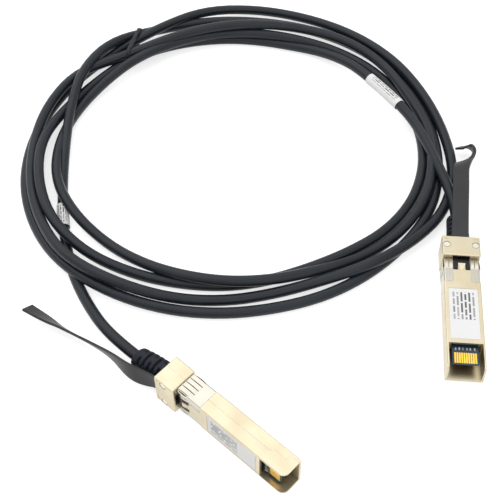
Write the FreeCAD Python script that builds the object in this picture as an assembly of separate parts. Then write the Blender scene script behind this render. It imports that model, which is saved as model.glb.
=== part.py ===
import FreeCAD, Part
import math
import os

# Direct attach copper cable: two pull-tab plugs joined by one round twinax cable, which lies in a loose coil.
# Millimetres, +Z up.  Origin: on the bench, at the centre of the box round the two plugs and their straps.
#
# Each plug is modelled in its own frame and then placed:
#   +Y runs from the mating end towards the cable, +Z points out of the latch face, X is the width,
#   y = 0 is the mating end, z = 0 is the face opposite the latch face.

V = FreeCAD.Vector

# ---- plug body, the part that goes into the cage ---------------------------------------------------------
BODY_W = 13.4            # width in the cage
BODY_H = 8.5             # height in the cage
BODY_EDGE_R = 0.4        # rounding of the long edges
THROUGH = 1.0            # how far a cut runs past the faces it opens
LAP = 0.2                # how far joined blocks run into each other
STOP_Y = 47.5            # mating end to the shoulder that stops against the cage
SKIRT_T = 0.7            # side wall beside the window
WALL_T = 1.1             # side wall behind the window
FLOOR_T = 1.0            # wall opposite the latch face
FACE_T = 1.0             # latch face wall
WINDOW_L = 10.4          # open length of the latch face at the mating end
MOUTH_R = 2.6            # rounding of the side walls at the mating end
WAIST_Y = 36.8           # where the seat of the spring collar starts
WAIST_D = 0.3            # depth of that seat
SPLIT_Z = 4.25           # height of the parting line between the two shells
SPLIT_GAP = 0.06         # open line between the shells
TAB_FRONT_Y = 3.6        # interlocking step of the parting line, front end
TAB_REAR_Y = 9.3         # interlocking step of the parting line, rear end
TAB_Z = 3.1              # height of the parting line along the step
LIP_Z = 1.2              # height of the parting line at the mating end
TONGUE_MARGIN = 0.1      # latch tongue beside the slider channel
REAR_WALL_T = 2.1        # side wall beside the rear cavity
SLOT_WALL_T = 0.8        # wall between the card bay and the slider channel
SLOT_BED_T = 0.6         # floor under the slider channel
CLAMP_L = 3.0            # pads that hold the card down on its ledges
CLAMP_FRONT_Y = 13.4     # front end of the front clamps
CLAMP_REAR_GAP = 2.0     # rear clamps and ledges to the rear end of the card
LEDGE_Y = 12.4           # front end of the card's ledges

# ---- nose, the part that stays outside the cage ----------------------------------------------------------
NOSE_L = 9.0
NOSE_W = 14.0
NOSE_PROUD = 0.4         # how far it stands out opposite the latch face
NOSE_RISE = 2.0          # how far it stands out on the latch side
NOSE_R = 0.5
NOSE_ROOF_T = 0.9        # wall over the strap
RIVET_X = 5.3            # rivets through both shells
RIVET_Y = 52.4
RIVET_R = 0.6
RIVET_HEAD_R = 1.15
RIVET_HEAD_T = 0.25
RIVET_SINK_R = 1.4
RIVET_SINK_T = 0.35
TAB_PAD_L = 2.0          # small raised pads on the rear corners
TAB_PAD_W = 0.8
TAB_PAD_T = 0.12

# ---- latch: boss on the shell, slider and its return spring ----------------------------------------------
SHOULDER_Y = 45.0        # mating end to the shoulder of the latch boss
BOSS_L = 2.6
BOSS_W = 2.6
BOSS_H = 0.45
BOSS_FLANK_L = 0.8       # straight part of the boss's sides
BOSS_TIP_W = 0.7         # blunt tip of its pointed front
BOSS_GAP = 0.4           # shoulder of the boss to the slider's plate
SLOT_W = 6.3             # width of the channel that guides the slider
SLOT_FRONT_Y = 42.2      # front end of that channel
SLIDE_GAP = 0.08         # running gap of the slider in its channel
SLIDER_T = 1.0
SLIDER_REAR_Y = 53.5
PRONG_W = 1.5
PRONG_FRONT_Y = 42.75
PRONG_RAMP = 0.5         # ramp that lifts the cage's locking tab
TRAVEL = 2.0             # travel of slider and strap
SPRING_POST_T = 0.8      # shell post that the return spring pushes against
SPRING_POST_Y = 51.4
SPRING_BAY_W = 3.2       # opening in the slider that holds the spring
SPRING_BAY_Y = 47.9
SPRING_T = 0.16
SPRING_TURNS = 5
SPRING_SIDE_GAP = 0.3    # folds to the sides of the bay
SPRING_POST_INSET = 0.5  # sides of the bay to the post
STAKE_X = 2.3            # moulded stakes that hold the strap on the slider
STAKE_Y = 50.0
STAKE_R = 0.5

# ---- pull strap ------------------------------------------------------------------------------------------
STRAP_W = 6.2
STRAP_T = 0.9
STRAP_FRONT_Y = 48.6
STRAP_STEPS = 4          # sections in each stretch of the strap
STRAP_EASE = 3.0         # straight stretch before the strap leaves the nose

# ---- spring collar round the waist -----------------------------------------------------------------------
COLLAR_T = 0.2
COLLAR_FIT = 0.02        # gap between collar and shell
COLLAR_BAND_L = 4.4      # closed band at the front of the collar
COLLAR_WING_L = 6.2      # band beside the latch tongue
COLLAR_REAR_Y = 47.2
FINGER_RISE = 0.34       # how far the fingers bow outwards
FINGER_GAP = 0.4
SIDE_FINGERS = 4
BACK_FINGERS = 6
WING_FINGERS = 2
COLLAR_FRONT_GAP = 0.15  # gap between collar and the step of the waist
COLLAR_LAP = 0.3         # how far the fingers' roots run into the band

# ---- circuit card ----------------------------------------------------------------------------------------
CARD_T = 1.0
CARD_W = 9.2
CARD_Y = 3.2             # set back of the card from the mating end
CARD_REAR_GAP = 4.4      # rear end of the card to the end of its bay
CARD_DEPTH = 2.25        # latch face to the card
CARD_BEVEL = 0.3
CONTACTS = 10
CONTACT_PITCH = 0.8
CONTACT_W = 0.56
CONTACT_L = 4.2
CONTACT_T = 0.05
CONTACT_SET_BACK = 0.3
CHIP_X = (-3.4, -2.1, -0.9, 0.6, 1.7, 3.2)   # chip capacitors across the card
CHIP_L = 1.0
CHIP_W = 0.5
CHIP_H = 0.4
CHIP_GAP = 0.9           # contacts to the capacitors
MEMORY_Y = 18.0          # memory chip in the bay
MEMORY_L = 4.0
MEMORY_W = 5.0
MEMORY_H = 0.9
LEDGE_W = 1.3            # ledges that carry the card
SEAT_GAP = 0.05          # gap where a piece only rests in its seat

# ---- label -----------------------------------------------------------------------------------------------
LABEL_W = 10.4
LABEL_L = 21.6
LABEL_Y = 12.1
LABEL_T = 0.09
LABEL_RECESS = 0.12
LABEL_MARGIN = 0.12
LABEL_LIFT = 0.01

# ---- cable, its boot and its end inside the plug ---------------------------------------------------------
CABLE_D = 4.2
CABLE_Z = 4.3            # axis of the cable above the plug's z = 0
BOOT_L = 13.4
BOOT_W = 8.6             # boot at the nose
BOOT_H = 8.0
BOOT_END_D = 7.4         # boot at the cable
BOOT_END_R = 1.4
BOOT_ROOT_L = 1.2        # squared root of the boot
BOOT_ROOT_R = 2.4
BOOT_ROOT_BEVEL = 0.3
BOOT_GROOVES = 5
BOOT_GROOVE_W = 0.9
BOOT_GROOVE_PITCH = 2.15
BOOT_GROOVE_Y = 1.7      # first groove, behind the nose
BOOT_CORE_D = 6.0
BOOT_BRIDGE = 1.0        # half width of the bridges that grooves leave
REAR_LIP_T = 1.1         # rear wall of the nose, behind the flange of the boot
FLANGE_T = 0.9           # flange of the boot, held between the shells
FLANGE_W = 8.0
FLANGE_H = 5.6
NECK_W = 6.8
NECK_H = 4.8
FERRULE_D = 5.0
FERRULE_BORE = 3.8
FERRULE_Y = 47.0
WIRE_D = 0.9
WIRE_X_FERRULE = 0.75
WIRE_X_CARD = 1.9
WIRE_LAND_L = 4.0        # stretch of each wire that lies on the card
WIRE_LIFT = 0.01

# ---- the free cable --------------------------------------------------------------------------------------
COIL_C = (-12.2, 64.9)   # centre of the coil
COIL_H = 4.4             # height of the coil's outer shape
COIL_EDGE_R = 1.3
BEND_SHARE = 0.45        # share of each straight run that a bend in the free cable takes up
# reach of the coil from its centre every 30 degrees, from +X towards +Y: inner edge, outer edge
COIL_REACH = [(73, 84), (73, 88), (71, 94), (74, 98), (75, 94), (72, 92),
              (70, 90), (68, 89), (61, 81), (60, 79), (60, 78), (66, 80)]
TIE_T = 0.8
TIE_W = 2.6
TIE_OUTER = (-65.8, 139.6)
TIE_INNER = (-69.2, 123.0)
TIE_H = 9.0
TIE_CORNER_R = 3.0
WRAP_T = 0.12            # wrap labels on the cable
WRAP_LIFT = 0.02
WRAP_A_L = 11.0
WRAP_A_AT = (-78.4, 29.7, 2.6)
WRAP_A_DIR = (-0.33, 0.94)
WRAP_B_L = 20.0
WRAP_B_AT = (47.2, 104.7, 6.9)
WRAP_B_DIR = (-0.64, 0.77)

# ---- places of the two plugs on the bench ----------------------------------------------------------------
PLUG_A_AT = (19.6, -72.9)   # z = 0 face of plug A at its mating end, standing on its narrow side
PLUG_A_TURN = 52.1          # degrees from +Y towards -X
PLUG_B_AT = (74.4, -32.2)   # middle of plug B's mating end, the plug lying with its latch face up

# routes of the free cable, from each boot to the coil
ROUTE_A = [(-38.27, -33.29, 7.0), (-43.8, -28.98, 7.0), (-52.4, -20.9, 5.1), (-60.0, -12.5, 2.9),
           (-66.2, -3.8, 2.2), (-70.4, 4.3, 2.2), (-73.6, 12.1, 2.2)]
ROUTE_B = [(74.4, 37.8, 4.7), (74.4, 43.6, 4.7), (73.4, 51.0, 5.9), (71.0, 59.3, 6.5), (67.5, 69.2, 6.6),
           (63.0, 80.0, 6.7), (57.4, 90.5, 6.8), (49.6, 101.0, 6.9), (41.1, 111.0, 6.9), (32.6, 121.0, 6.3),
           (22.6, 129.0, 4.4), (12.1, 134.5, 2.5)]

# free stretch of each strap in its plug's frame: x, y, z and roll in degrees
STRAP_A_TAIL = [(-0.1, 58.5, 9.15, 86), (-0.4, 61.5, 10.1, 76), (-0.9, 65.5, 11.1, 71),
                (-1.2, 70.0, 11.6, 80), (-1.2, 76.5, 11.6, 97), (-1.6, 82.0, 12.0, 107), (-2.4, 88.5, 12.8, 112),
                (-3.1, 95.0, 13.9, 115), (-3.4, 101.0, 15.0, 119), (-2.6, 107.0, 16.3, 134),
                (-1.8, 115.43, 18.0, 143)]
STRAP_B_TAIL = [(0.7, 70.0, 9.0, 0), (1.5, 83.0, 9.0, 0), (2.1, 92.5, 8.7, 4), (3.8, 97.5, 7.3, 34),
                (6.1, 101.1, 5.4, 60), (7.7, 103.8, 4.7, 78), (8.1, 106.2, 4.5, 95), (7.8, 107.9, 4.5, 112),
                (6.4, 108.7, 4.5, 124), (4.6, 108.5, 4.5, 132), (2.5, 107.3, 4.5, 136)]

# ---- sizes that follow -----------------------------------------------------------------------------------
TOTAL_Y = STOP_Y + NOSE_L
NOSE_TOP = BODY_H + NOSE_RISE
CARD_TOP = BODY_H - CARD_DEPTH
CARD_UNDER = CARD_TOP - CARD_T
SLOT_FLOOR_Z = BODY_H - SLIDER_T - 2 * SLIDE_GAP
SLIDER_TOP = SLOT_FLOOR_Z + SLIDE_GAP + SLIDER_T
STRAP_Z = SLIDER_TOP + SEAT_GAP
STRAP_MID_Z = STRAP_Z + STRAP_T / 2
ROOF_Z = NOSE_TOP - NOSE_ROOF_T
SLOT_REAR_Y = SLIDER_REAR_Y + TRAVEL + SLIDE_GAP
FLANGE_REAR_Y = TOTAL_Y - REAR_LIP_T
FERRULE_REAR_Y = FLANGE_REAR_Y - FLANGE_T - SEAT_GAP
REAR_CAVITY_TOP = SLOT_FLOOR_Z - SLOT_BED_T
REAR_CAVITY_Y = SLOT_FRONT_Y - SLOT_WALL_T
CARD_REAR_Y = REAR_CAVITY_Y - CARD_REAR_GAP
LEDGE_REAR_Y = CARD_REAR_Y - CLAMP_REAR_GAP


def box(x0, x1, y0, y1, z0, z1):
    return Part.makeBox(x1 - x0, y1 - y0, z1 - z0, V(x0, y0, z0))


def both_sides(x0, x1, y0, y1, z0, z1):
    """The same block on both sides of the plug's middle plane."""
    return box(x0, x1, y0, y1, z0, z1).fuse(box(-x1, -x0, y0, y1, z0, z1))


def bar(half_w, z0, z1, y0, y1, r):
    """A bar along Y with rounded long edges."""
    block = box(-half_w, half_w, y0, y1, z0, z1)
    long_edges = [e for e in block.Edges if abs(e.Vertexes[0].Y - e.Vertexes[1].Y) > (y1 - y0) / 2]
    return block.makeFillet(r, long_edges)


def slab(outline, x0, x1):
    """An outline of (y, z) points, extruded along X."""
    points = [V(x0, y, z) for y, z in outline]
    return Part.Face(Part.makePolygon(points + [points[0]])).extrude(V(x1 - x0, 0, 0))


def rod_y(r, y0, y1, x=0.0, z=0.0):
    return Part.makeCylinder(r, y1 - y0, V(x, y0, z), V(0, 1, 0))


def rod_z(r, z0, z1, x, y):
    return Part.makeCylinder(r, z1 - z0, V(x, y, z0))


def joined(shapes):
    result = shapes[0]
    for shape in shapes[1:]:
        result = result.fuse(shape)
    return result.removeSplitter()


# ---- shells ----------------------------------------------------------------------------------------------

def plug_outside():
    """Outer form of the two closed shells: body, waist, latch tongue and nose."""
    half = BODY_W / 2
    body = bar(half, 0, BODY_H, 0, WAIST_Y, BODY_EDGE_R)
    waist = bar(half - WAIST_D, WAIST_D, BODY_H - WAIST_D, WAIST_Y - THROUGH, STOP_Y + THROUGH, BODY_EDGE_R)
    tongue_half = SLOT_W / 2 + TONGUE_MARGIN
    tongue = box(-tongue_half, tongue_half, WAIST_Y - THROUGH, STOP_Y + THROUGH, BODY_H - THROUGH, BODY_H)
    nose = box(-NOSE_W / 2, NOSE_W / 2, STOP_Y, TOTAL_Y, -NOSE_PROUD, NOSE_TOP)
    nose = nose.makeFillet(NOSE_R, nose.Edges)
    return joined([body, waist, tongue, nose])


def plug_hollow():
    """What is cut out of the closed shells: mouth, window, card bay and the seats of cable and boot."""
    inner = BODY_W / 2 - WALL_T
    skirt_x = BODY_W / 2 - SKIRT_T
    rear_x = BODY_W / 2 - REAR_WALL_T
    mouth = box(-skirt_x, skirt_x, -THROUGH, WINDOW_L, FLOOR_T, BODY_H + THROUGH)
    bay = box(-inner, inner, WINDOW_L - THROUGH, REAR_CAVITY_Y, FLOOR_T, BODY_H - FACE_T)
    rear = box(-rear_x, rear_x, REAR_CAVITY_Y - THROUGH, FERRULE_Y, FLOOR_T, REAR_CAVITY_TOP)
    ferrule = rod_y(FERRULE_D / 2 + SEAT_GAP, FERRULE_Y - THROUGH, FERRULE_REAR_Y, 0, CABLE_Z)
    flange = box(-FLANGE_W / 2 - SEAT_GAP, FLANGE_W / 2 + SEAT_GAP, FERRULE_REAR_Y, FLANGE_REAR_Y,
                 CABLE_Z - FLANGE_H / 2 - SEAT_GAP, CABLE_Z + FLANGE_H / 2 + SEAT_GAP)
    neck = box(-NECK_W / 2 - SEAT_GAP, NECK_W / 2 + SEAT_GAP, FLANGE_REAR_Y - THROUGH, TOTAL_Y + THROUGH,
               CABLE_Z - NECK_H / 2 - SEAT_GAP, CABLE_Z + NECK_H / 2 + SEAT_GAP)
    return joined([mouth, bay, rear, ferrule, flange, neck])


def slider_channel():
    """Channel in the latch shell for the slider, with the strap's way out of the nose."""
    half = SLOT_W / 2
    channel = box(-half, half, SLOT_FRONT_Y, SLOT_REAR_Y, SLOT_FLOOR_Z, ROOF_Z)
    way_out = box(-half, half, SLOT_REAR_Y - THROUGH, TOTAL_Y + THROUGH, STRAP_Z - SLIDE_GAP, ROOF_Z)
    keeper = box(-BOSS_W / 2, BOSS_W / 2, SLOT_FRONT_Y - THROUGH, SHOULDER_Y, SLOT_FLOOR_Z - THROUGH,
                 NOSE_TOP)
    return channel.cut(keeper).fuse(way_out)


def latch_boss():
    """Wedge that locks into the cage, with a pointed front as seen from above."""
    y0 = SHOULDER_Y - BOSS_L
    half = BOSS_W / 2
    tip = BOSS_TIP_W / 2
    flank_y = SHOULDER_Y - BOSS_FLANK_L
    root_z = BODY_H - BOSS_H
    wedge = slab([(y0, root_z), (SHOULDER_Y, root_z), (SHOULDER_Y, BODY_H + BOSS_H), (y0, BODY_H)],
                 -half, half)
    plan = [V(-half, SHOULDER_Y, 0), V(half, SHOULDER_Y, 0), V(half, flank_y, 0), V(tip, y0, 0),
            V(-tip, y0, 0), V(-half, flank_y, 0)]
    arrow = Part.Face(Part.makePolygon(plan + [plan[0]])).extrude(V(0, 0, 2 * BODY_H))
    return wedge.common(arrow)


def rivet_holes():
    cuts = []
    for x in (-RIVET_X, RIVET_X):
        cuts.append(rod_z(RIVET_R + SEAT_GAP, -NOSE_PROUD - THROUGH, NOSE_TOP + THROUGH, x, RIVET_Y))
        cuts.append(rod_z(RIVET_SINK_R, NOSE_TOP - RIVET_SINK_T, NOSE_TOP + THROUGH, x, RIVET_Y))
        cuts.append(rod_z(RIVET_SINK_R, -NOSE_PROUD - THROUGH, RIVET_SINK_T - NOSE_PROUD, x, RIVET_Y))
    return joined(cuts)


def above_split(gap):
    """Everything on the latch side of the parting line, moved up by gap."""
    near = -THROUGH
    far = TOTAL_Y + THROUGH
    line = [(near, LIP_Z + gap), (TAB_FRONT_Y - gap, LIP_Z + gap), (TAB_FRONT_Y - gap, TAB_Z + gap),
            (TAB_REAR_Y - gap, TAB_Z + gap), (TAB_REAR_Y - gap, SPLIT_Z + gap), (far, SPLIT_Z + gap)]
    return slab(line + [(far, 2 * NOSE_TOP), (near, 2 * NOSE_TOP)], -NOSE_W, NOSE_W)


def mouth_rounding():
    """Cuts the corner where each side wall meets the mating end."""
    corner = box(-BODY_W, BODY_W, -THROUGH, MOUTH_R, BODY_H - MOUTH_R, BODY_H + THROUGH)
    wheel = Part.makeCylinder(MOUTH_R, 2 * BODY_W, V(-BODY_W, MOUTH_R, BODY_H - MOUTH_R), V(1, 0, 0))
    return corner.cut(wheel)


def latch_shell(closed):
    """Shell with the latch face: label recess, latch tongue and boss, slider channel and strap roof."""
    shell = closed.common(above_split(SPLIT_GAP))
    shell = shell.cut(slider_channel()).cut(mouth_rounding())
    shell = shell.cut(box(-LABEL_W / 2 - LABEL_MARGIN, LABEL_W / 2 + LABEL_MARGIN, LABEL_Y - LABEL_MARGIN,
                          LABEL_Y + LABEL_L + LABEL_MARGIN, BODY_H - LABEL_RECESS, BODY_H + THROUGH))
    inner = BODY_W / 2 - WALL_T
    face_z = BODY_H - FACE_T
    clamps = [both_sides(inner - LEDGE_W, inner + LAP, y, y + CLAMP_L, CARD_TOP + SEAT_GAP, face_z + LAP)
              for y in (CLAMP_FRONT_Y, LEDGE_REAR_Y - CLAMP_L)]
    post_x = SPRING_BAY_W / 2 - SPRING_POST_INSET
    post = box(-post_x, post_x, SPRING_POST_Y, SPRING_POST_Y + SPRING_POST_T, SLOT_FLOOR_Z - LAP,
               SLIDER_TOP - SLIDE_GAP)
    pads = both_sides(NOSE_W / 2 - NOSE_R - TAB_PAD_L, NOSE_W / 2 - NOSE_R, TOTAL_Y - NOSE_R - TAB_PAD_W,
                      TOTAL_Y - NOSE_R, NOSE_TOP - LAP, NOSE_TOP + TAB_PAD_T)
    return joined([shell, latch_boss(), post, pads] + clamps)


def back_shell(closed):
    """Shell opposite the latch face: the floor of the mouth, and the ledges that carry the card."""
    shell = closed.cut(above_split(0))
    inner = BODY_W / 2 - WALL_T
    ledges = both_sides(inner - LEDGE_W, inner - SEAT_GAP, LEDGE_Y, LEDGE_REAR_Y, FLOOR_T - LAP,
                        CARD_UNDER - SEAT_GAP)
    return joined([shell, ledges])


def shell_rivets():
    rivets = []
    for x in (-RIVET_X, RIVET_X):
        low = RIVET_SINK_T - NOSE_PROUD
        high = NOSE_TOP - RIVET_SINK_T
        shank = rod_z(RIVET_R, low - SEAT_GAP, high + SEAT_GAP, x, RIVET_Y)
        top_head = rod_z(RIVET_HEAD_R, high, high + RIVET_HEAD_T, x, RIVET_Y)
        low_head = rod_z(RIVET_HEAD_R, low - RIVET_HEAD_T, low, x, RIVET_Y)
        rivets.append(joined([shank, top_head, low_head]))
    return Part.makeCompound(rivets)


# ---- spring collar ---------------------------------------------------------------------------------------

def bowed_strip(y0, y1, width):
    """One spring finger, lying along Y on z = 0 and bowing to +Z, centred on x = 0."""
    mid = (y0 + y1) / 2
    low = Part.Arc(V(0, y0, 0), V(0, mid, FINGER_RISE), V(0, y1, 0)).toShape()
    high = Part.Arc(V(0, y1, COLLAR_T), V(0, mid, FINGER_RISE + COLLAR_T), V(0, y0, COLLAR_T)).toShape()
    front = Part.makeLine(V(0, y0, COLLAR_T), V(0, y0, 0))
    rear = Part.makeLine(V(0, y1, 0), V(0, y1, COLLAR_T))
    strip = Part.Face(Part.Wire([low, rear, high, front])).extrude(V(width, 0, 0))
    strip.translate(V(-width / 2, 0, 0))
    return strip


def finger_row(count, y0, span, angle, at):
    """A row of spring fingers across span, turned about Y and moved to its side of the waist."""
    pitch = (span + FINGER_GAP) / count
    row = []
    for i in range(count):
        strip = bowed_strip(y0, COLLAR_REAR_Y, pitch - FINGER_GAP)
        strip.translate(V((i - (count - 1) / 2) * pitch, 0, 0))
        strip.rotate(V(0, 0, 0), V(0, 1, 0), angle)
        strip.translate(V(*at))
        row.append(strip)
    return row


def emi_collar():
    """Stamped spring collar: a band round the waist, wings beside the tongue, and bowed fingers."""
    half = BODY_W / 2 - WAIST_D + COLLAR_FIT
    low = WAIST_D - COLLAR_FIT
    high = BODY_H - WAIST_D + COLLAR_FIT
    y0 = WAIST_Y + COLLAR_FRONT_GAP
    band_end = y0 + COLLAR_BAND_L
    wing_end = y0 + COLLAR_WING_L
    tongue_x = SLOT_W / 2 + 2 * TONGUE_MARGIN
    inner = bar(half, low, high, y0 - THROUGH, wing_end + THROUGH, BODY_EDGE_R)
    outer = bar(half + COLLAR_T, low - COLLAR_T, high + COLLAR_T, y0, wing_end, BODY_EDGE_R + COLLAR_T)
    band = outer.cut(inner)
    band = band.cut(box(-tongue_x, tongue_x, y0 - THROUGH, wing_end + THROUGH, BODY_H - THROUGH,
                        BODY_H + THROUGH))
    band = band.cut(box(-BODY_W, BODY_W, band_end, wing_end + THROUGH, -THROUGH, high - 2 * COLLAR_T))
    flat_h = high - low - 2 * BODY_EDGE_R
    flat_w = 2 * half - 2 * BODY_EDGE_R
    mid_z = (high + low) / 2
    root_y = band_end - COLLAR_LAP
    fingers = finger_row(SIDE_FINGERS, root_y, flat_h, 90, (half, 0, mid_z))
    fingers += finger_row(SIDE_FINGERS, root_y, flat_h, -90, (-half, 0, mid_z))
    fingers += finger_row(BACK_FINGERS, root_y, flat_w, 180, (0, 0, low))
    wing_w = half - BODY_EDGE_R - tongue_x
    wing_x = tongue_x + wing_w / 2
    for x in (-wing_x, wing_x):
        fingers += finger_row(WING_FINGERS, wing_end - COLLAR_LAP, wing_w, 0, (x, 0, high))
    return joined([band] + fingers)


# ---- latch slider, its spring and the pull strap ---------------------------------------------------------

def release_slider():
    """Moulded slider with two prongs that stand beside the latch boss."""
    half = SLOT_W / 2 - SLIDE_GAP
    z0 = SLOT_FLOOR_Z + SLIDE_GAP
    plate_y = SHOULDER_Y + BOSS_GAP
    plate = box(-half, half, plate_y, SLIDER_REAR_Y, z0, SLIDER_TOP)
    prong = slab([(PRONG_FRONT_Y, z0), (plate_y + LAP, z0), (plate_y + LAP, SLIDER_TOP),
                  (PRONG_FRONT_Y + PRONG_RAMP, SLIDER_TOP), (PRONG_FRONT_Y, SLIDER_TOP - PRONG_RAMP)],
                 half - PRONG_W, half)
    other_prong = prong.mirror(V(0, 0, 0), V(1, 0, 0))
    bay_rear = SPRING_POST_Y + SPRING_POST_T + SEAT_GAP
    bay = box(-SPRING_BAY_W / 2, SPRING_BAY_W / 2, SPRING_BAY_Y, bay_rear, z0 - THROUGH, SLIDER_TOP + THROUGH)
    stake_top = STRAP_Z + STRAP_T + SLIDE_GAP
    stakes = [rod_z(STAKE_R, SLIDER_TOP - LAP, stake_top, x, STAKE_Y) for x in (-STAKE_X, STAKE_X)]
    return joined([plate.cut(bay), prong, other_prong] + stakes)


def return_spring():
    """Flat wire folded to and fro between the slider and the post of the shell."""
    y0 = SPRING_BAY_Y + SPRING_T / 2 + SEAT_GAP
    y1 = SPRING_POST_Y - SPRING_T / 2 - SEAT_GAP
    reach = SPRING_BAY_W / 2 - SPRING_SIDE_GAP
    z0 = SLOT_FLOOR_Z + 2 * SLIDE_GAP
    height = SLIDER_TOP - z0 - SLIDE_GAP
    step = (y1 - y0) / SPRING_TURNS
    corners = [V(reach * (-1) ** i, y0 + i * step, z0) for i in range(SPRING_TURNS + 1)]
    pieces = []
    for a, b in zip(corners, corners[1:]):
        run = b - a
        leaf = Part.makeBox(run.Length, SPRING_T, height, V(0, -SPRING_T / 2, 0))
        leaf.rotate(V(0, 0, 0), V(0, 0, 1), math.degrees(math.atan2(run.y, run.x)))
        leaf.translate(a)
        pieces.append(leaf)
    pieces += [Part.makeCylinder(SPRING_T / 2, height, c) for c in corners]
    return joined(pieces)


def smooth_through(points, steps):
    """Catmull-Rom points through a list of tuples, with steps in each stretch."""
    padded = [points[0]] + list(points) + [points[-1]]
    out = []
    for i in range(1, len(padded) - 2):
        p0, p1, p2, p3 = padded[i - 1:i + 3]
        for k in range(steps):
            t = k / steps
            out.append(tuple(0.5 * (2 * b + (c - a) * t + (2 * a - 5 * b + 4 * c - d) * t ** 2
                                    + (3 * b - 3 * c + d - a) * t ** 3)
                             for a, b, c, d in zip(p0, p1, p2, p3)))
    return out + [tuple(points[-1])]


def pull_strap(tail, up, root_roll):
    """Flat strap: staked to the slider, straight out of the nose, then free along its tail."""
    straight = [(0.0, y, STRAP_MID_Z, root_roll) for y in (STRAP_FRONT_Y, TOTAL_Y - STRAP_EASE, TOTAL_Y)]
    line = straight[:1] + smooth_through(straight[1:] + tail, STRAP_STEPS)
    places = [V(*p[:3]) for p in line]
    sections = []
    for i, (x, y, z, roll) in enumerate(line):
        ahead = (places[min(i + 1, len(line) - 1)] - places[max(i - 1, 0)]).normalize()
        side = ahead.cross(up).normalize()
        top = side.cross(ahead).normalize()
        across = side * math.cos(math.radians(roll)) + top * math.sin(math.radians(roll))
        through = ahead.cross(across).normalize()
        corners = [places[i] + across * (STRAP_W / 2 * a) + through * (STRAP_T / 2 * b)
                   for a, b in ((-1, -1), (1, -1), (1, 1), (-1, 1))]
        sections.append(Part.makePolygon(corners + [corners[0]]))
    strap = Part.makeLoft(sections, True, True)
    for x in (-STAKE_X, STAKE_X):
        hole = rod_z(STAKE_R + SEAT_GAP, STRAP_Z - THROUGH, STRAP_Z + STRAP_T + THROUGH, x, STAKE_Y)
        strap = strap.cut(hole)
    return strap


# ---- card, contacts, wires and boot ----------------------------------------------------------------------

def paddle_card():
    """Card with bevelled front edges."""
    bevel_y = CARD_Y + 2 * CARD_BEVEL
    return slab([(CARD_Y, CARD_UNDER + CARD_BEVEL), (bevel_y, CARD_UNDER), (CARD_REAR_Y, CARD_UNDER),
                 (CARD_REAR_Y, CARD_TOP), (bevel_y, CARD_TOP), (CARD_Y, CARD_TOP - CARD_BEVEL)],
                -CARD_W / 2, CARD_W / 2)


def card_contacts():
    y0 = CARD_Y + CONTACT_SET_BACK
    pads = []
    for i in range(CONTACTS):
        x = (i - (CONTACTS - 1) / 2) * CONTACT_PITCH
        for z in (CARD_TOP, CARD_UNDER - CONTACT_T):
            pads.append(box(x - CONTACT_W / 2, x + CONTACT_W / 2, y0, y0 + CONTACT_L, z, z + CONTACT_T))
    return Part.makeCompound(pads)


def card_parts():
    """Chip capacitors behind the contacts and the memory chip in the bay."""
    row_y = CARD_Y + CONTACT_SET_BACK + CONTACT_L + CHIP_GAP
    chips = [box(x - CHIP_W / 2, x + CHIP_W / 2, row_y, row_y + CHIP_L, CARD_TOP, CARD_TOP + CHIP_H)
             for x in CHIP_X]
    half = MEMORY_W / 2
    chips.append(box(-half, half, MEMORY_Y, MEMORY_Y + MEMORY_L, CARD_TOP, CARD_TOP + MEMORY_H))
    return Part.makeCompound(chips)


def core_wires():
    """Insulated conductors of the two pairs, from the ferrule to their lands on both faces of the card."""
    r = WIRE_D / 2
    wires = []
    for side_x in (-1, 1):
        for side_z, face_z in ((1, CARD_TOP), (-1, CARD_UNDER)):
            inner_x = side_x * WIRE_X_FERRULE
            inner_z = CABLE_Z + side_z * WIRE_X_FERRULE
            land_x = side_x * WIRE_X_CARD
            land_z = face_z + side_z * (r + WIRE_LIFT)
            stops = [V(inner_x, FERRULE_REAR_Y, inner_z), V(inner_x, FERRULE_Y, inner_z),
                     V(land_x, CARD_REAR_Y + WIRE_D, land_z), V(land_x, CARD_REAR_Y - WIRE_LAND_L, land_z)]
            runs = [Part.makeCylinder(r, (b - a).Length, a, b - a) for a, b in zip(stops, stops[1:])]
            wires.append(joined(runs + [Part.makeSphere(r, p) for p in stops[1:3]]))
    return Part.makeCompound(wires)


def cable_ferrule():
    """Crimped ferrule that ties the cable's shield to the shells."""
    y0 = FERRULE_Y
    y1 = FERRULE_REAR_Y - SEAT_GAP
    bore = rod_y(FERRULE_BORE / 2, y0 - THROUGH, y1 + THROUGH, 0, CABLE_Z)
    return rod_y(FERRULE_D / 2, y0, y1, 0, CABLE_Z).cut(bore)


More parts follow.
